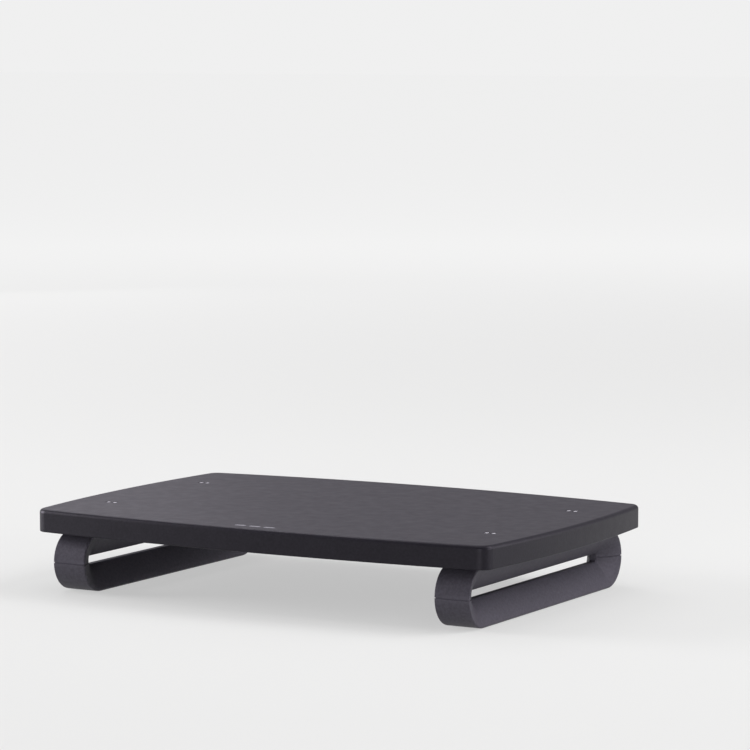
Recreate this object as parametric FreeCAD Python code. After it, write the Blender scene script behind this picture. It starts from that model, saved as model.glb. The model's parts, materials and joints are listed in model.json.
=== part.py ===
"""Monitor riser stand: a bowed platform moulding on two loop-shaped legs.

Millimetres.  Origin on the desk under the platform's centre, +X to the right, +Y to the rear, +Z up.
Each leg is an upper and a lower half that meet at mid-height and leave a long slot between them.
Two-pronged clips screwed into the upper halves reach up through sockets to the platform's top;
round pegs line the lower halves up with the upper ones; rubber pads are let into the lower halves.
"""

import FreeCAD, Part
import math
import os

from FreeCAD import Vector

# Platform moulding
PLATFORM_WIDTH = 406.0
PLATFORM_DEPTH = 279.0
PLATFORM_HEIGHT = 17.6
FRONT_BOW_RADIUS = 1750.0
REAR_BOW_RADIUS = 1250.0
SIDE_BOW_RADIUS = 990.0
CORNER_RADIUS = 10.0
TOP_EDGE_ROUND = 3.0
LOWER_EDGE_ROUND = 0.8
SKIN_THICKNESS = 3.0
SKIRT_THICKNESS = 3.0

# Ribs under the platform
RIB_THICKNESS = 1.8
RIB_PITCH = 27.5
RIB_SETBACK = 4.0
RIBS_ALONG_X = 9
RIBS_ALONG_Y = 11

# Legs: a loop whose sides flare from a thin web to a rounded rim, parted at mid-height
LEG_SPACING = 331.5
LEG_CENTRE_Y = -2.5
LEG_LENGTH = 250.0
LEG_HEIGHT = 45.8
LEG_WIDTH = 28.6
LEG_END_RADIUS = 22.6
RIM_THICKNESS = 1.5
RIM_ROUND = 1.0
SLOT_LENGTH = 206.0
SLOT_HEIGHT = 6.6
SLOT_CORNER_RADIUS = 1.5
WEB_THICKNESS = 5.0
FLARE_SECTIONS = 9
FLARE_POWER = 1.7

# Hollows inside the leg halves
SHELL_WALL = 2.4
RIM_LEDGE = 3.5
CELL_RIB = 1.6
CELL_REACH = 98.0
UPPER_CELLS = 5
LOWER_CELLS = 7
END_POCKET_DEPTH = 12.0
SEAM_DEPTH = 0.8
SEAM_HALF_HEIGHT = 0.4

# Clips that hold the legs to the platform
CLIP_SPACING = 133.0
CLIP_PLATE_WIDTH = 20.4
CLIP_PLATE_LENGTH = 26.0
CLIP_PLATE_THICKNESS = 3.6
CLIP_PLATE_CORNER = 2.0
CLIP_DROP = 0.3
CLIP_GAP = 0.3
PRONG_WIDTH = 3.2
PRONG_DEPTH = 5.0
PRONG_PITCH = 5.8
PRONG_TIP_DROP = 0.1
PRONG_TIP_ROUND = 0.8
PRONG_ROOT_HEIGHT = 4.0
WINDOW_GAP = 0.2

# Sockets and leg seats under the platform
SOCKET_WIDTH = 10.8
SOCKET_DEPTH = 9.0
SOCKET_WALL = 2.0
SEAT_WALL = 2.5
SEAT_LENGTH = 196.0

# Screws through the clip plates
SCREW_SPACING = 18.4
SCREW_HEAD_RADIUS = 2.6
SCREW_HEAD_HEIGHT = 1.6
SCREW_SHANK_RADIUS = 1.3
SCREW_LENGTH = 10.0
SCREW_TIP_RADIUS = 0.2
SCREW_CROSS_WIDTH = 0.7
SCREW_CROSS_LENGTH = 3.0
SCREW_CROSS_DEPTH = 0.9
SCREW_GAP = 0.05
SCREW_BOSS_LENGTH = 8.0
COUNTERBORE_RADIUS = 2.9
COUNTERBORE_DEPTH = 1.8

# Pegs between the leg halves
PEG_RADIUS = 3.0
PEG_LENGTH = 15.0
PEG_SEAT_DEPTH = 7.0
PEG_SOCKET_GAP = 0.08
PEG_SPACING = 235.0
PEG_BOSS_RADIUS = 5.2
PEG_CHAMFER = 0.8
PEG_SPLIT_WIDTH = 1.0
PEG_SPLIT_DEPTH = 6.0

# Rubber pads under the lower leg halves
PAD_RADIUS = 9.0
PAD_THICKNESS = 2.6
PAD_PROUD = 0.6
PAD_GAP = 0.2
PAD_ROUND = 0.4
PAD_SPACING = 168.0
PAD_SEAT_LENGTH = 23.0

# Heights and places that follow from the sizes above
LEG_MIDDLE_Z = PAD_PROUD + LEG_HEIGHT / 2
LEG_TOP_Z = PAD_PROUD + LEG_HEIGHT
PLATFORM_TOP_Z = LEG_TOP_Z + PLATFORM_HEIGHT
SKIN_UNDERSIDE_Z = PLATFORM_TOP_Z - SKIN_THICKNESS
SIDES = {"left": -1, "right": 1}
ENDS = {"front": -1, "rear": 1}


def block(low, high):
    """A box between two opposite corners."""
    return Part.makeBox(high[0] - low[0], high[1] - low[1], high[2] - low[2], Vector(*low))


def centred_block(width, depth, low_z, high_z, x=0.0, y=0.0):
    """A box standing on low_z, centred on x and y."""
    return block((x - width / 2, y - depth / 2, low_z), (x + width / 2, y + depth / 2, high_z))


def edges_at_height(solid, z):
    """The edges of a solid that lie wholly at one height."""
    tolerance = 1e-4
    return [
        edge
        for edge in solid.Edges
        if abs(edge.BoundBox.ZMin - z) < tolerance and abs(edge.BoundBox.ZMax - z) < tolerance
    ]


# ---------------------------------------------------------------- platform


def bowed_face(inset, z):
    """The platform's plan: four bowed sides joined by tangent corner arcs, drawn in by inset."""
    front_centre = Vector(0, FRONT_BOW_RADIUS - PLATFORM_DEPTH / 2, 0)
    rear_centre = Vector(0, PLATFORM_DEPTH / 2 - REAR_BOW_RADIUS, 0)
    right_centre = Vector(PLATFORM_WIDTH / 2 - SIDE_BOW_RADIUS, 0, 0)
    left_centre = Vector(-right_centre.x, 0, 0)
    sides = [
        (front_centre, FRONT_BOW_RADIUS, Vector(0, -1, 0)),
        (right_centre, SIDE_BOW_RADIUS, Vector(1, 0, 0)),
        (rear_centre, REAR_BOW_RADIUS, Vector(0, 1, 0)),
        (left_centre, SIDE_BOW_RADIUS, Vector(-1, 0, 0)),
    ]
    corner_radius = CORNER_RADIUS - inset
    corners = []
    for index, (centre, radius, facing) in enumerate(sides):
        next_centre, next_radius, next_facing = sides[(index + 1) % len(sides)]
        corner = circles_meet(
            centre, radius - CORNER_RADIUS, next_centre, next_radius - CORNER_RADIUS, facing + next_facing
        )
        leaving = (corner - centre).normalize()
        arriving = (corner - next_centre).normalize()
        between = (leaving + arriving).normalize()
        corners.append([corner + direction * corner_radius for direction in (leaving, between, arriving)])
    edges = []
    for index, (centre, radius, facing) in enumerate(sides):
        start = corners[index - 1][2]
        end = corners[index][0]
        edges.append(Part.Arc(start, centre + facing * (radius - inset), end).toShape())
        edges.append(Part.Arc(*corners[index]).toShape())
    face = Part.Face(Part.Wire(edges))
    face.translate(Vector(0, 0, z))
    return face


def circles_meet(first, first_radius, second, second_radius, towards):
    """The point where two circles in the XY plane cross, on the side that towards points to."""
    across = second - first
    distance = across.Length
    along = (first_radius**2 - second_radius**2 + distance**2) / (2 * distance)
    aside = math.sqrt(first_radius**2 - along**2)
    axis = across.normalize()
    normal = Vector(-axis.y, axis.x, 0)
    if normal.dot(towards) < 0:
        normal = -normal
    return first + axis * along + normal * aside


def platform_shell():
    """The skin and skirt, open underneath."""
    shell = bowed_face(0, LEG_TOP_Z).extrude(Vector(0, 0, PLATFORM_HEIGHT))
    shell = shell.makeFillet(TOP_EDGE_ROUND, edges_at_height(shell, PLATFORM_TOP_Z))
    shell = shell.makeFillet(LOWER_EDGE_ROUND, edges_at_height(shell, LEG_TOP_Z))
    return shell.cut(platform_inside())


def platform_inside():
    """The space under the skin and within the skirt."""
    return bowed_face(SKIRT_THICKNESS, LEG_TOP_Z).extrude(Vector(0, 0, PLATFORM_HEIGHT - SKIN_THICKNESS))


def rib_places(count):
    """Evenly pitched rib centres about zero."""
    return [(index - (count - 1) / 2) * RIB_PITCH for index in range(count)]


def platform_ribs():
    """A grid of ribs that stops short of the skirt's lower edge."""
    heights = (LEG_TOP_Z + RIB_SETBACK, SKIN_UNDERSIDE_Z)
    ribs = [centred_block(PLATFORM_WIDTH, RIB_THICKNESS, *heights, y=y) for y in rib_places(RIBS_ALONG_X)]
    ribs += [centred_block(RIB_THICKNESS, PLATFORM_DEPTH, *heights, x=x) for x in rib_places(RIBS_ALONG_Y)]
    return ribs[0].multiFuse(ribs[1:]).common(platform_inside())


def clip_places(side):
    """The centres of the two clips of one leg."""
    x = side * LEG_SPACING / 2
    return [(x, LEG_CENTRE_Y + end * CLIP_SPACING / 2) for end in ENDS.values()]


def leg_seat(side):
    """Full-depth walls that bear on a leg's rim, with cross walls at the sockets."""
    x = side * LEG_SPACING / 2
    width = LEG_WIDTH - RIM_LEDGE + SEAT_WALL
    heights = (LEG_TOP_Z, SKIN_UNDERSIDE_Z)
    frame = centred_block(width, SEAT_LENGTH, *heights, x, LEG_CENTRE_Y)
    hollow = centred_block(width - 2 * SEAT_WALL, SEAT_LENGTH - 2 * SEAT_WALL, *heights, x, LEG_CENTRE_Y)
    cross_walls = [
        centred_block(width, RIB_THICKNESS, LEG_TOP_Z + RIB_SETBACK, SKIN_UNDERSIDE_Z, x, y)
        for x, y in clip_places(side)
    ]
    return frame.cut(hollow).multiFuse(cross_walls)


def socket_tubes(side):
    """Rectangular tubes that guide the clips' prongs."""
    width = SOCKET_WIDTH + 2 * SOCKET_WALL
    depth = SOCKET_DEPTH + 2 * SOCKET_WALL
    return [centred_block(width, depth, LEG_TOP_Z, SKIN_UNDERSIDE_Z, x, y) for x, y in clip_places(side)]


def socket_openings(side):
    """The bores of the tubes, and the pairs of windows through the skin above them."""
    window_width = PRONG_WIDTH + 2 * WINDOW_GAP
    window_depth = PRONG_DEPTH + 2 * WINDOW_GAP
    window_heights = (SKIN_UNDERSIDE_Z, PLATFORM_TOP_Z)
    openings = []
    for x, y in clip_places(side):
        openings.append(centred_block(SOCKET_WIDTH, SOCKET_DEPTH, LEG_TOP_Z, SKIN_UNDERSIDE_Z, x, y))
        openings += [
            centred_block(window_width, window_depth, *window_heights, x + prong_x, y)
            for prong_x in prong_offsets()
        ]
    return openings


def platform():
    """The whole platform moulding."""
    additions = [platform_ribs()]
    openings = []
    for side in SIDES.values():
        additions.append(leg_seat(side))
        additions += socket_tubes(side)
        openings += socket_openings(side)
    return platform_shell().multiFuse(additions).cut(openings).removeSplitter()


# ---------------------------------------------------------------- legs
# A leg is drawn about its own middle, with x across it, y along it and z up.


def loop_wire(x, half_length, half_height, radius):
    """A rounded rectangle in the plane at x."""
    corners = []
    for y_sign, z_sign, start_angle in ((1, -1, -90), (1, 1, 0), (-1, 1, 90), (-1, -1, 180)):
        centre = Vector(x, y_sign * (half_length - radius), z_sign * (half_height - radius))
        points = []
        for turn in (0, 45, 90):
            angle = math.radians(start_angle + turn)
            points.append(centre + Vector(0, math.cos(angle), math.sin(angle)) * radius)
        corners.append(points)
    edges = []
    for index, points in enumerate(corners):
        edges.append(Part.LineSegment(corners[index - 1][2], points[0]).toShape())
        edges.append(Part.Arc(*points).toShape())
    return Part.Wire(edges)


def loop_prism(half_width, half_length, half_height, radius):
    """A rounded rectangle run across the leg's width."""
    face = Part.Face(loop_wire(-half_width, half_length, half_height, radius))
    return face.extrude(Vector(2 * half_width, 0, 0))


def flare(side, shift=0.0):
    """The hollow that opens smoothly from the web's side to the rim, moved into the leg by shift."""
    slot_half_length = SLOT_LENGTH / 2
    slot_half_height = SLOT_HEIGHT / 2
    rim_half_length = LEG_LENGTH / 2 - RIM_THICKNESS
    rim_half_height = LEG_HEIGHT / 2 - RIM_THICKNESS
    rim_radius = LEG_END_RADIUS - RIM_THICKNESS
    wires = []
    for index in range(FLARE_SECTIONS):
        angle = math.radians(90) * index / (FLARE_SECTIONS - 1)
        outward = math.sin(angle) ** FLARE_POWER
        spread = 1 - math.cos(angle) ** FLARE_POWER
        wires.append(
            loop_wire(
                side * (WEB_THICKNESS / 2 + (LEG_WIDTH - WEB_THICKNESS) / 2 * outward - shift),
                slot_half_length + (rim_half_length - slot_half_length) * spread,
                slot_half_height + (rim_half_height - slot_half_height) * spread,
                SLOT_CORNER_RADIUS + (rim_radius - SLOT_CORNER_RADIUS) * spread,
            )
        )
    return Part.makeLoft(wires, True, False)


def leg_core(inset):
    """The leg's section drawn in by inset on every outer face."""
    prism = loop_prism(
        LEG_WIDTH / 2 - inset, LEG_LENGTH / 2 - inset, LEG_HEIGHT / 2 - inset, LEG_END_RADIUS - inset
    )
    return prism.cut([flare(side, inset) for side in SIDES.values()])


def leg_loop():
    """The outside of a whole leg: a rounded loop, flared open on both sides and slotted through."""
    loop = loop_prism(LEG_WIDTH / 2, LEG_LENGTH / 2, LEG_HEIGHT / 2, LEG_END_RADIUS)
    rim_edges = [edge for edge in loop.Edges if edge.BoundBox.XLength < RIM_ROUND]
    loop = loop.makeFillet(RIM_ROUND, rim_edges)
    slot = loop_prism(LEG_WIDTH, SLOT_LENGTH / 2, SLOT_HEIGHT / 2, SLOT_CORNER_RADIUS)
    return loop.cut([flare(side) for side in SIDES.values()] + [slot])


def seam_relief():
    """A shallow groove all round the joint between the two halves."""
    slab = block(
        (-LEG_WIDTH, -LEG_LENGTH, -SEAM_HALF_HEIGHT),
        (LEG_WIDTH, LEG_LENGTH, SEAM_HALF_HEIGHT),
    )
    return slab.cut(leg_core(SEAM_DEPTH))


def half_loop(facing):
    """One half of the leg's outside: facing 1 is the upper half, -1 the lower."""
    keep = block((-LEG_WIDTH, -LEG_LENGTH, 0), (LEG_WIDTH, LEG_LENGTH, LEG_HEIGHT))
    if facing < 0:
        keep.translate(Vector(0, 0, -LEG_HEIGHT))
    return leg_loop().common(keep).cut(seam_relief())


def cell_spans(low, high, count):
    """The spans in y of count equal cells with a thin rib between neighbours."""
    length = (high - low - (count - 1) * CELL_RIB) / count
    starts = [low + index * (length + CELL_RIB) for index in range(count)]
    return [(start, start + length) for start in starts]


def mirrored_spans(spans):
    """The same spans on the other side of the middle."""
    return [(-high, -low) for low, high in spans]


def cells(spans, facing):
    """Moulded hollows that open through a half's flat face, between the rim and the flared sides."""
    half_width = LEG_WIDTH / 2 - RIM_LEDGE
    low_z = SLOT_HEIGHT / 2 + SHELL_WALL
    high_z = LEG_HEIGHT / 2
    boxes = [block((-half_width, low, low_z), (half_width, high, high_z)) for low, high in spans]
    hollows = boxes[0].multiFuse(boxes[1:]).cut([flare(side, SHELL_WALL) for side in SIDES.values()])
    return hollows if facing > 0 else hollows.mirror(Vector(), Vector(0, 0, 1))


def end_pockets(facing):
    """Hollows in the two end bends that open at the joint, round the bosses of the pegs."""
    core = leg_core(SHELL_WALL)
    pockets = []
    for end in ENDS.values():
        inner = SLOT_LENGTH / 2 + SHELL_WALL
        zone = block((-LEG_WIDTH, inner, 0), (LEG_WIDTH, LEG_LENGTH, END_POCKET_DEPTH))
        if end < 0:
            zone = zone.mirror(Vector(), Vector(0, 1, 0))
        boss = Part.makeCylinder(PEG_BOSS_RADIUS, LEG_HEIGHT, Vector(0, end * PEG_SPACING / 2, 0))
        pocket = zone.common(core).cut(boss)
        pockets.append(pocket if facing > 0 else pocket.mirror(Vector(), Vector(0, 0, 1)))
    return pockets


def peg_holes(facing, radius, depth):
    """Round holes for the pegs, from the joint into one half."""
    return [
        Part.makeCylinder(radius, depth, Vector(0, end * PEG_SPACING / 2, 0), Vector(0, 0, facing))
        for end in ENDS.values()
    ]


def upper_half():
    """The half with the clip seats, hollow from its flat top."""
    clip_centre = CLIP_SPACING / 2
    seat_half = CLIP_PLATE_LENGTH / 2 + CLIP_GAP
    boss_inner = (SCREW_SPACING - SCREW_BOSS_LENGTH) / 2
    outer_spans = [
        (clip_centre + seat_half, CELL_REACH),
        (clip_centre - boss_inner, clip_centre + boss_inner),
    ]
    middle_spans = cell_spans(seat_half - clip_centre, clip_centre - seat_half, UPPER_CELLS)
    hollows = [cells(middle_spans + outer_spans + mirrored_spans(outer_spans), 1)]
    top = LEG_HEIGHT / 2
    seat_floor = top - CLIP_DROP - CLIP_PLATE_THICKNESS
    for end in ENDS.values():
        y = end * clip_centre
        hollows.append(centred_block(LEG_WIDTH - 2 * RIM_LEDGE, 2 * seat_half, seat_floor, top, y=y))
        for screw in ENDS.values():
            hole_centre = Vector(0, y + screw * SCREW_SPACING / 2, seat_floor - SCREW_LENGTH)
            hollows.append(Part.makeCylinder(SCREW_SHANK_RADIUS + SCREW_GAP, SCREW_LENGTH, hole_centre))
    socket_depth = PEG_LENGTH - PEG_SEAT_DEPTH + PEG_CHAMFER
    hollows += end_pockets(1) + peg_holes(1, PEG_RADIUS + PEG_SOCKET_GAP, socket_depth)
    return half_loop(1).cut(hollows)


def lower_half():
    """The half with the pad seats, hollow from its flat underside."""
    pad_centre = PAD_SPACING / 2
    seat_inner = pad_centre - PAD_SEAT_LENGTH / 2
    hollows = [cells(cell_spans(-seat_inner, seat_inner, LOWER_CELLS), -1)]
    bottom = -LEG_HEIGHT / 2
    for end in ENDS.values():
        seat = Vector(0, end * pad_centre, bottom)
        hollows.append(Part.makeCylinder(PAD_RADIUS + PAD_GAP, PAD_THICKNESS - PAD_PROUD, seat))
    hollows += end_pockets(-1) + peg_holes(-1, PEG_RADIUS, PEG_SEAT_DEPTH)
    return half_loop(-1).cut(hollows)


# ---------------------------------------------------------------- clips, screws, pegs and pads


def prong_offsets():
    """The places across the leg of a clip's two prongs."""
    return (-PRONG_PITCH / 2, PRONG_PITCH / 2)


def prong():
    """One upright prong with a rounded tip, on a plate whose top is at zero."""
    height = PLATFORM_HEIGHT + CLIP_DROP - PRONG_TIP_DROP
    bar = centred_block(PRONG_WIDTH, PRONG_DEPTH, 0, height)
    return bar.makeFillet(PRONG_TIP_ROUND, edges_at_height(bar, height))


def clip():
    """A screw-down plate with two prongs; its origin is the middle of the plate's top face."""
    plate = centred_block(CLIP_PLATE_WIDTH, CLIP_PLATE_LENGTH, -CLIP_PLATE_THICKNESS, 0)
    corners = [edge for edge in plate.Edges if edge.BoundBox.ZLength > CLIP_PLATE_THICKNESS / 2]
    plate = plate.makeFillet(CLIP_PLATE_CORNER, corners)
    prongs = []
    for x in prong_offsets():
        one_prong = prong()
        one_prong.translate(Vector(x, 0, 0))
        prongs.append(one_prong)
    root = centred_block(PRONG_PITCH, PRONG_DEPTH / 2, 0, PRONG_ROOT_HEIGHT)
    down = Vector(0, 0, -1)
    holes = []
    for end in ENDS.values():
        top = Vector(0, end * SCREW_SPACING / 2, 0)
        holes.append(Part.makeCylinder(SCREW_SHANK_RADIUS + SCREW_GAP, CLIP_PLATE_THICKNESS, top, down))
        holes.append(Part.makeCylinder(COUNTERBORE_RADIUS, COUNTERBORE_DEPTH, top, down))
    return plate.multiFuse(prongs + [root]).cut(holes).removeSplitter()


def screw():
    """A pan-head screw with a cross recess; its origin is under the head."""
    head = Part.makeCylinder(SCREW_HEAD_RADIUS, SCREW_HEAD_HEIGHT)
    head = head.makeFillet(SCREW_HEAD_HEIGHT / 2, edges_at_height(head, SCREW_HEAD_HEIGHT))
    down = Vector(0, 0, -1)
    straight_length = SCREW_LENGTH - SCREW_SHANK_RADIUS
    shank = Part.makeCylinder(SCREW_SHANK_RADIUS, straight_length, Vector(), down)
    shank_end = down * straight_length
    point = Part.makeCone(SCREW_SHANK_RADIUS, SCREW_TIP_RADIUS, SCREW_SHANK_RADIUS, shank_end, down)
    recess_floor = SCREW_HEAD_HEIGHT - SCREW_CROSS_DEPTH
    cross = [
        centred_block(SCREW_CROSS_LENGTH, SCREW_CROSS_WIDTH, recess_floor, SCREW_HEAD_HEIGHT),
        centred_block(SCREW_CROSS_WIDTH, SCREW_CROSS_LENGTH, recess_floor, SCREW_HEAD_HEIGHT),
    ]
    return head.multiFuse([shank, point]).cut(cross).removeSplitter()


def peg():
    """A split round peg; its origin is on its axis at the joint between the leg halves."""
    bottom = Vector(0, 0, -PEG_SEAT_DEPTH)
    top = PEG_LENGTH - PEG_SEAT_DEPTH
    pin = Part.makeCylinder(PEG_RADIUS, PEG_LENGTH, bottom)
    pin = pin.makeChamfer(PEG_CHAMFER, edges_at_height(pin, top))
    split = centred_block(2 * PEG_RADIUS, PEG_SPLIT_WIDTH, top - PEG_SPLIT_DEPTH, top)
    return pin.cut(split)


def pad():
    """A rubber disc; its origin is the middle of its underside."""
    disc = Part.makeCylinder(PAD_RADIUS, PAD_THICKNESS)
    return disc.makeFillet(PAD_ROUND, edges_at_height(disc, 0))


def placed(solid, x, y, z):
    """A copy of a solid moved to its place."""
    copy = solid.copy()
    copy.translate(Vector(x, y, z))
    return copy


def nodes():
    """Every node of the stand by name."""
    parts = {"platform": platform()}
    upper, lower = upper_half(), lower_half()
    clip_z = LEG_TOP_Z - CLIP_DROP
    screw_z = clip_z - COUNTERBORE_DEPTH
    for side_name, side in SIDES.items():
        x = side * LEG_SPACING / 2
        parts[f"{side_name}_upper_leg"] = placed(upper, x, LEG_CENTRE_Y, LEG_MIDDLE_Z)
        parts[f"{side_name}_lower_leg"] = placed(lower, x, LEG_CENTRE_Y, LEG_MIDDLE_Z)
        screws = []
        for end_name, end in ENDS.items():
            name = f"{side_name}_{end_name}"
            clip_y = LEG_CENTRE_Y + end * CLIP_SPACING / 2
            parts[f"{name}_clip"] = placed(clip(), x, clip_y, clip_z)
            parts[f"{name}_peg"] = placed(peg(), x, LEG_CENTRE_Y + end * PEG_SPACING / 2, LEG_MIDDLE_Z)
            parts[f"{name}_pad"] = placed(pad(), x, LEG_CENTRE_Y + end * PAD_SPACING / 2, 0)
            for at in ENDS.values():
                screws.append(placed(screw(), x, clip_y + at * SCREW_SPACING / 2, screw_z))
        parts[f"{side_name}_clip_screws"] = Part.makeCompound(screws)
    return parts


os.makedirs("parts", exist_ok=True)
for node_name, shape in nodes().items():
    shape.exportStep(f"parts/{node_name}.step")
    print(node_name, len(shape.Solids), shape.isValid(), round(shape.Volume))
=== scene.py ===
"""Looks of the monitor riser stand: moulded materials, fine details, studio floor, lights and camera.

Metres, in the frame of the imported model: +X right, +Y to the rear, +Z up, the desk at z = 0.
"""

import bmesh
import bpy
import json
import math
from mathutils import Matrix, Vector


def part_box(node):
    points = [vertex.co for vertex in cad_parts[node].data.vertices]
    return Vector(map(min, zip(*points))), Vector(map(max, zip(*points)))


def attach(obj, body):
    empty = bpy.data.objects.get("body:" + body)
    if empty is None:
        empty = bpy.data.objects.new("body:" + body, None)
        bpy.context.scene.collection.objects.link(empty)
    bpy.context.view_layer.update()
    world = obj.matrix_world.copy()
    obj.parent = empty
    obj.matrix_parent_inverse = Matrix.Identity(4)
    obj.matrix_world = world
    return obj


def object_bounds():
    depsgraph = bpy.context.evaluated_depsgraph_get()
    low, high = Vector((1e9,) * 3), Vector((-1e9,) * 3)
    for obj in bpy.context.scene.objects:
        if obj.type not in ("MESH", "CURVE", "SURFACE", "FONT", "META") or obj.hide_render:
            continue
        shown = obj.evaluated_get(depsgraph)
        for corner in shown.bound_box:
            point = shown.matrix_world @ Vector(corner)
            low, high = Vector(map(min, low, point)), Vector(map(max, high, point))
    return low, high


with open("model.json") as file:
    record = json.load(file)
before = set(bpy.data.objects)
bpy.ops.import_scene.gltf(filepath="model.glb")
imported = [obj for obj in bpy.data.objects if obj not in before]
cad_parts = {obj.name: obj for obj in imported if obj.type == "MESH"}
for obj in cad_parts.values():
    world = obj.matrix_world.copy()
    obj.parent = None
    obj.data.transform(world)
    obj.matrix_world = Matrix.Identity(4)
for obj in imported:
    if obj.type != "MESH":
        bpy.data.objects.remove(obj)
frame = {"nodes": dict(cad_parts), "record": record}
CAD_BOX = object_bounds()
LIGHT_AIM = (Vector(CAD_BOX[0]) + Vector(CAD_BOX[1])) / 2

BLACK = (0.0, 0.0, 0.0)
WHITE = (1.0, 1.0, 1.0)

# Camera
CAMERA_PLACE = Vector((1.3087, -2.2331, 0.4237))
CAMERA_FORWARD = Vector((-0.4945, 0.8635, -0.0994))
CAMERA_LENS_MM = 163.1

# Studio
FLOOR_SIZE = 60.0
FLOOR_TINT = (0.255, 0.265, 0.24)
FLOOR_NEAR_GLOW = 0.5
FLOOR_FAR_GLOW = 0.8
FLOOR_FADE = (1.0, 4.5)
HORIZON_TINT = (0.87, 0.87, 0.87)
HORIZON_HEIGHT = 0.04
SKY_TINT = (0.95, 0.91, 1.0)
SKY_BRIGHT_SIDE = (-0.707, 0.707, 0.0)
SKY_TURN = (-0.3, 0.9)
SKY_BRIGHT = 0.53
SKY_DIM = 0.12
LIGHT_DISTANCE = 3.0
LIGHT_TINT = (0.95, 0.91, 1.0)

# Lights: turn from straight ahead of the front towards the right and height in degrees, size, watts
LIGHTS = {
    "front": (16, 5, 0.4, 26.0),
    "right": (95, 10, 1.4, 42.0),
    "high_right": (120, 45, 1.4, 56.0),
    "right_rear": (130, 14, 1.4, 20.0),
    "rear_left": (228, 14, 1.4, 2.0),
    "high_left": (240, 45, 1.4, 20.0),
    "left": (288, 14, 1.4, 110.0),
    "overhead": (0, 88, 2.0, 26.0),
}

# Moulded plastics: tint, roughness, gloss
PLATFORM_PLASTIC = ((0.0096, 0.0088, 0.0118), 0.40, 0.16)
LEG_PLASTIC = ((0.0460, 0.0437, 0.0522), 0.50, 0.15)
PEG_PLASTIC = ((0.09, 0.09, 0.095), 0.45, 0.5)
GLOSS_TINT = (0.97, 0.94, 1.0)
GRAIN_SIZE = 0.0014
GRAIN_DEPTH = 0.00007
GRAIN_STRENGTH = 0.6
FINE_GRAIN_SHARE = 0.6
SPECKLE_SIZE = 0.0018
SPECKLE_STEPS = ((0.4, 0.82), (0.8, 1.18))
MOTTLE_SIZE = 0.035
MOTTLE_SHARE = 0.2
WEAR_SIZE = MOTTLE_SIZE / 4
WEAR_ROUGHNESS = 0.04
RUBBED_EDGE = (0.53, 0.62)
RUBBED_STEPS = ((0.0, 1.3), (1.0, 1.6))

# Cloudy finishes: each step is a place on the ramp and how many times as light the tint is there
# Clip tint: partly the acetal's own light colour, partly a painted highlight standing in for the
# glints on the clip tips
CLIP_FINISH_AND_GLINT = {
    "tint": (0.50, 0.50, 0.51), "steps": ((0.3, 0.93), (0.7, 1.0)), "roughness": (0.25, 0.38),
    "cloud_size": 0.004, "cloud_detail": 3.0,
    "grain_size": 0.0006, "grain_depth": 0.00001, "grain_strength": 0.3,
}
PAD_FINISH = {
    "tint": (0.012, 0.012, 0.013), "steps": ((0.35, 1.0), (0.8, 2.2)), "roughness": (0.78, 0.92),
    "cloud_size": 0.006, "cloud_detail": 6.0,
    "grain_size": 0.0004, "grain_depth": 0.00004, "grain_strength": 0.6,
}
STEEL_FINISH = {
    "tint": (0.56, 0.56, 0.57), "steps": ((0.3, 0.8), (0.7, 1.0)), "roughness": (0.28, 0.45),
    "cloud_size": 0.0012, "cloud_detail": 4.0,
    "grain_size": 0.0003, "grain_depth": 0.00001, "grain_strength": 0.5,
}
INK_FINISH = {
    "tint": (0.23, 0.23, 0.24), "steps": ((0.3, 0.75), (0.6, 1.0)), "roughness": (0.5, 0.65),
    "cloud_size": 0.0008, "cloud_detail": 3.0,
    "grain_size": GRAIN_SIZE, "grain_depth": 0.00001, "grain_strength": 0.5,
}

# Printed mark near the front of the platform's top
BAR_COUNT = 3
BAR_LENGTH = 0.0095
BAR_WIDTH = 0.0034
BAR_PITCH = 0.0125
BAR_SETBACK = 0.0135
INK_THICKNESS = 0.00005
ROUND_END_STEPS = 8


# ---------------------------------------------------------------- materials


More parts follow.
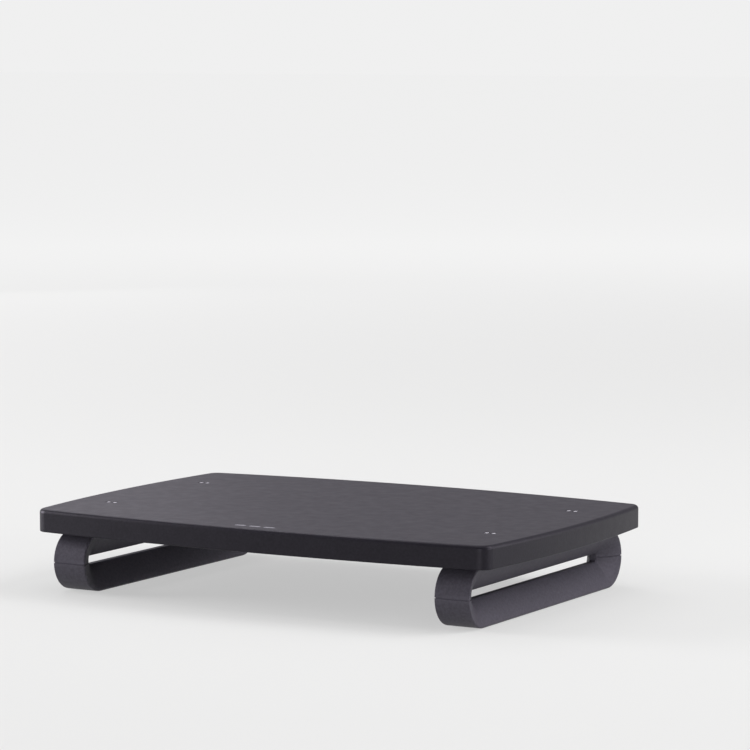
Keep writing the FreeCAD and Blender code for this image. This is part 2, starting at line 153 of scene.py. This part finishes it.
class Graph:
    """The nodes of a material or of the studio's sky, added and joined in short calls."""

    def __init__(self, owner):
        owner.use_nodes = True
        self.owner = owner
        self.nodes = owner.node_tree.nodes
        self.links = owner.node_tree.links
        self.shader = self.nodes.get("Principled BSDF")
        self.coordinates = self.add("ShaderNodeTexCoord").outputs

    def add(self, kind, **settings):
        """Adds a node; each setting is one of its sockets or, failing that, one of its options."""
        node = self.nodes.new(kind)
        for key, value in settings.items():
            if key in node.inputs:
                node.inputs[key].default_value = value
            else:
                setattr(node, key, value)
        return node

    def join(self, output, node, socket):
        self.links.new(output, node.inputs[socket])

    def drive(self, socket, output):
        self.join(output, self.shader, socket)

    def hold(self, socket, value):
        """Gives one of the shader's sockets the same value all over."""
        self.shader.inputs[socket].default_value = value

    def noise(self, size, detail=2.0, roughness=0.5):
        """Soft random patches of about the given size."""
        node = self.add("ShaderNodeTexNoise", Scale=1.0 / size, Detail=detail, Roughness=roughness)
        self.join(self.coordinates["Object"], node, "Vector")
        return node.outputs["Fac"]

    def pebbles(self, size):
        """Rounded cells of about the given size."""
        node = self.add("ShaderNodeTexVoronoi", feature="SMOOTH_F1", Scale=1.0 / size, Smoothness=0.6)
        self.join(self.coordinates["Object"], node, "Vector")
        return node.outputs["Distance"]

    def ramp(self, value, stops):
        """A colour that goes from the first stop's to the second's; a stop is a place and a colour."""
        node = self.add("ShaderNodeValToRGB")
        self.join(value, node, "Fac")
        for element, (place, colour) in zip(node.color_ramp.elements, stops):
            element.position = place
            element.color = (*colour, 1.0)
        return node.outputs["Color"]

    def fit(self, value, low, high, start=0.0, end=1.0):
        """Eases from low where the value is start to high where it is end."""
        node = self.add("ShaderNodeMapRange", interpolation_type="SMOOTHSTEP")
        self.join(value, node, "Value")
        ends = {"From Min": start, "From Max": end, "To Min": low, "To Max": high}
        for socket, setting in ends.items():
            node.inputs[socket].default_value = setting
        return node.outputs["Result"]

    def sum(self, first, second, share):
        """The first value plus a share of the second."""
        node = self.add("ShaderNodeMath", operation="MULTIPLY_ADD")
        self.join(second, node, 0)
        node.inputs[1].default_value = share
        self.join(first, node, 2)
        return node.outputs["Value"]

    def blend(self, factor, first, second):
        """The first colour where the factor is 0, the second where it is 1."""
        node = self.add("ShaderNodeMixRGB")
        self.join(factor, node, "Fac")
        self.join(first, node, "Color1")
        self.join(second, node, "Color2")
        return node.outputs["Color"]

    def bump(self, height, depth, strength):
        node = self.add("ShaderNodeBump", Strength=strength, Distance=depth)
        self.join(height, node, "Height")
        self.drive("Normal", node.outputs["Normal"])


def shades(tint, steps):
    """Ramp stops that are lighter and darker versions of one tint."""
    return [(place, [channel * lightness for channel in tint]) for place, lightness in steps]


def moulded_plastic(name, tint, roughness, gloss):
    """Spark-textured plastic: fine pebble grain, speckles, faint mottling, rubbed edges."""
    graph = Graph(bpy.data.materials.new(name))
    graph.hold("Specular IOR Level", gloss)
    graph.hold("Specular Tint", (*GLOSS_TINT, 1.0))
    mottle = graph.noise(MOTTLE_SIZE, detail=6.0, roughness=0.8)
    tone = graph.sum(graph.noise(SPECKLE_SIZE), mottle, MOTTLE_SHARE)
    colour = graph.ramp(tone, shades(tint, SPECKLE_STEPS))
    edge = graph.add("ShaderNodeNewGeometry").outputs["Pointiness"]
    rubbed = graph.ramp(edge, zip(RUBBED_EDGE, (BLACK, WHITE)))
    worn = graph.ramp(mottle, shades(tint, RUBBED_STEPS))
    graph.drive("Base Color", graph.blend(rubbed, colour, worn))
    wear = graph.noise(WEAR_SIZE, detail=3.0)
    graph.drive("Roughness", graph.fit(wear, roughness - WEAR_ROUGHNESS, roughness + WEAR_ROUGHNESS))
    grain = graph.sum(graph.pebbles(GRAIN_SIZE), graph.noise(GRAIN_SIZE / 2), FINE_GRAIN_SHARE)
    graph.bump(grain, GRAIN_DEPTH, GRAIN_STRENGTH)
    return graph.owner


def cloudy_graph(name, finish):
    """A graph whose colour and roughness drift together in soft clouds."""
    graph = Graph(bpy.data.materials.new(name))
    clouds = graph.noise(finish["cloud_size"], finish["cloud_detail"])
    graph.drive("Base Color", graph.ramp(clouds, shades(finish["tint"], finish["steps"])))
    graph.drive("Roughness", graph.fit(clouds, *finish["roughness"]))
    return graph


def clip_plastic():
    """Light acetal, its light tint partly the clip's own colour and partly a painted highlight for the
    glints on the tips; smooth, slightly glossy, faintly cloudy.
    """
    graph = cloudy_graph("clip_plastic", CLIP_FINISH_AND_GLINT)
    grain = graph.noise(CLIP_FINISH_AND_GLINT["grain_size"])
    graph.bump(grain, CLIP_FINISH_AND_GLINT["grain_depth"], CLIP_FINISH_AND_GLINT["grain_strength"])
    return graph.owner


def pad_rubber():
    """Black rubber with a fine matte skin."""
    graph = cloudy_graph("pad_rubber", PAD_FINISH)
    grain = graph.noise(PAD_FINISH["grain_size"], detail=3.0)
    graph.bump(grain, PAD_FINISH["grain_depth"], PAD_FINISH["grain_strength"])
    return graph.owner


def screw_steel():
    """Zinc-plated steel with a slight haze."""
    graph = cloudy_graph("screw_steel", STEEL_FINISH)
    graph.hold("Metallic", 1.0)
    grain = graph.noise(STEEL_FINISH["grain_size"])
    graph.bump(grain, STEEL_FINISH["grain_depth"], STEEL_FINISH["grain_strength"])
    return graph.owner


def printing_ink():
    """Pale grey ink, thin enough for the grain under it to show."""
    graph = cloudy_graph("printing_ink", INK_FINISH)
    grain = graph.pebbles(INK_FINISH["grain_size"])
    graph.bump(grain, INK_FINISH["grain_depth"], INK_FINISH["grain_strength"])
    return graph.owner


def dress_cad_nodes():
    """Gives every CAD node its finish."""
    finishes = {
        "platform_plastic": moulded_plastic("platform_plastic", *PLATFORM_PLASTIC),
        "leg_plastic": moulded_plastic("leg_plastic", *LEG_PLASTIC),
        "peg_plastic": moulded_plastic("peg_plastic", *PEG_PLASTIC),
        "clip_plastic": clip_plastic(),
        "pad_rubber": pad_rubber(),
        "screw_steel": screw_steel(),
    }
    for subpart in frame["record"]["subparts"]:
        node = frame["nodes"][subpart["node"]]
        node.data.materials.clear()
        node.data.materials.append(finishes[subpart["material_slot"]])


def bar_outline(centre_x, centre_y):
    """The corners of a bar with round ends, lying along X."""
    radius = BAR_WIDTH / 2
    corners = []
    for side, first_angle in ((1, -90), (-1, 90)):
        end_x = centre_x + side * (BAR_LENGTH / 2 - radius)
        for step in range(ROUND_END_STEPS + 1):
            angle = math.radians(first_angle + 180 * step / ROUND_END_STEPS)
            corners.append((end_x + radius * math.cos(angle), centre_y + radius * math.sin(angle)))
    return corners


def printed_mark():
    """A row of plain bars printed on the platform's top, near the front edge."""
    low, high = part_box("platform")
    mesh = bmesh.new()
    for index in range(BAR_COUNT):
        centre_x = (index - (BAR_COUNT - 1) / 2) * BAR_PITCH
        outline = bar_outline(centre_x, low[1] + BAR_SETBACK)
        face = mesh.faces.new([mesh.verts.new((x, y, high[2])) for x, y in outline])
        raised = bmesh.ops.extrude_face_region(mesh, geom=[face])["geom"]
        lifted = [item for item in raised if isinstance(item, bmesh.types.BMVert)]
        bmesh.ops.translate(mesh, verts=lifted, vec=(0, 0, INK_THICKNESS))
    bmesh.ops.recalc_face_normals(mesh, faces=mesh.faces)
    data = bpy.data.meshes.new("printed_mark")
    mesh.to_mesh(data)
    mesh.free()
    mark = bpy.data.objects.new("printed_mark", data)
    bpy.context.collection.objects.link(mark)
    data.materials.append(printing_ink())
    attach(mark, "platform")


# ---------------------------------------------------------------- studio


def studio_floor():
    """A large pale floor, seen only from above, that glows more where the lights don't reach."""
    mesh = bpy.data.meshes.new("floor")
    half = FLOOR_SIZE / 2
    corners = [(-half, -half, 0), (half, -half, 0), (half, half, 0), (-half, half, 0)]
    mesh.from_pydata(corners, [], [range(len(corners))])
    floor = bpy.data.objects.new("floor", mesh)
    bpy.context.collection.objects.link(floor)
    graph = Graph(bpy.data.materials.new("floor"))
    graph.hold("Base Color", (*FLOOR_TINT, 1.0))
    graph.hold("Specular IOR Level", 0.0)
    graph.hold("Emission Color", (*WHITE, 1.0))
    distance = graph.add("ShaderNodeVectorMath", operation="LENGTH")
    graph.join(graph.coordinates["Object"], distance, "Vector")
    glow = graph.fit(distance.outputs["Value"], FLOOR_NEAR_GLOW, FLOOR_FAR_GLOW, *FLOOR_FADE)
    graph.drive("Emission Strength", glow)
    underside = graph.add("ShaderNodeNewGeometry").outputs["Backfacing"]
    mix = graph.add("ShaderNodeMixShader")
    graph.join(underside, mix, 0)
    graph.join(graph.shader.outputs["BSDF"], mix, 1)
    graph.join(graph.add("ShaderNodeBsdfTransparent").outputs["BSDF"], mix, 2)
    graph.join(mix.outputs["Shader"], graph.nodes["Material Output"], "Surface")
    mesh.materials.append(graph.owner)


def studio_sky():
    """As pale as the floor up to the horizon; above it a dim glow, stronger on one side."""
    world = bpy.data.worlds.new("studio")
    bpy.context.scene.world = world
    graph = Graph(world)
    direction = graph.coordinates["Generated"]
    facing = graph.add("ShaderNodeVectorMath", operation="DOT_PRODUCT")
    graph.join(direction, facing, 0)
    facing.inputs[1].default_value = SKY_BRIGHT_SIDE
    glow = graph.fit(facing.outputs["Value"], SKY_DIM, SKY_BRIGHT, *SKY_TURN)
    height = graph.add("ShaderNodeSeparateXYZ")
    graph.join(direction, height, "Vector")
    above = graph.fit(height.outputs["Z"], 0.0, 1.0, HORIZON_HEIGHT / 2, HORIZON_HEIGHT)
    sky = graph.add("ShaderNodeMixRGB", Color1=(*HORIZON_TINT, 1.0))
    graph.join(above, sky, "Fac")
    graph.join(graph.ramp(glow, [(0.0, BLACK), (1.0, SKY_TINT)]), sky, "Color2")
    graph.join(sky.outputs["Color"], graph.nodes["Background"], "Color")


def soft_light(name, turn, height, size, power):
    """A square soft light on a dome round the stand, aimed at its middle."""
    turn, height = math.radians(turn), math.radians(height)
    level = math.cos(height)
    direction = Vector((math.sin(turn) * level, -math.cos(turn) * level, math.sin(height)))
    data = bpy.data.lights.new(name, "AREA")
    data.size = size
    data.energy = power
    data.color = LIGHT_TINT
    lamp = bpy.data.objects.new(name, data)
    lamp.location = LIGHT_AIM + direction * LIGHT_DISTANCE
    lamp.rotation_euler = direction.to_track_quat("Z", "Y").to_euler()
    lamp.visible_camera = False
    bpy.context.collection.objects.link(lamp)


def camera():
    """A long lens to the right of the front, a little above the platform."""
    data = bpy.data.cameras.new("camera")
    data.lens = CAMERA_LENS_MM
    view = bpy.data.objects.new("camera", data)
    view.location = CAMERA_PLACE
    view.rotation_euler = CAMERA_FORWARD.to_track_quat("-Z", "Y").to_euler()
    bpy.context.collection.objects.link(view)
    bpy.context.scene.camera = view


bpy.context.scene.view_settings.view_transform = "Standard"
camera()
dress_cad_nodes()
printed_mark()
studio_floor()
studio_sky()
for light_name, settings in LIGHTS.items():
    soft_light(light_name, *settings)
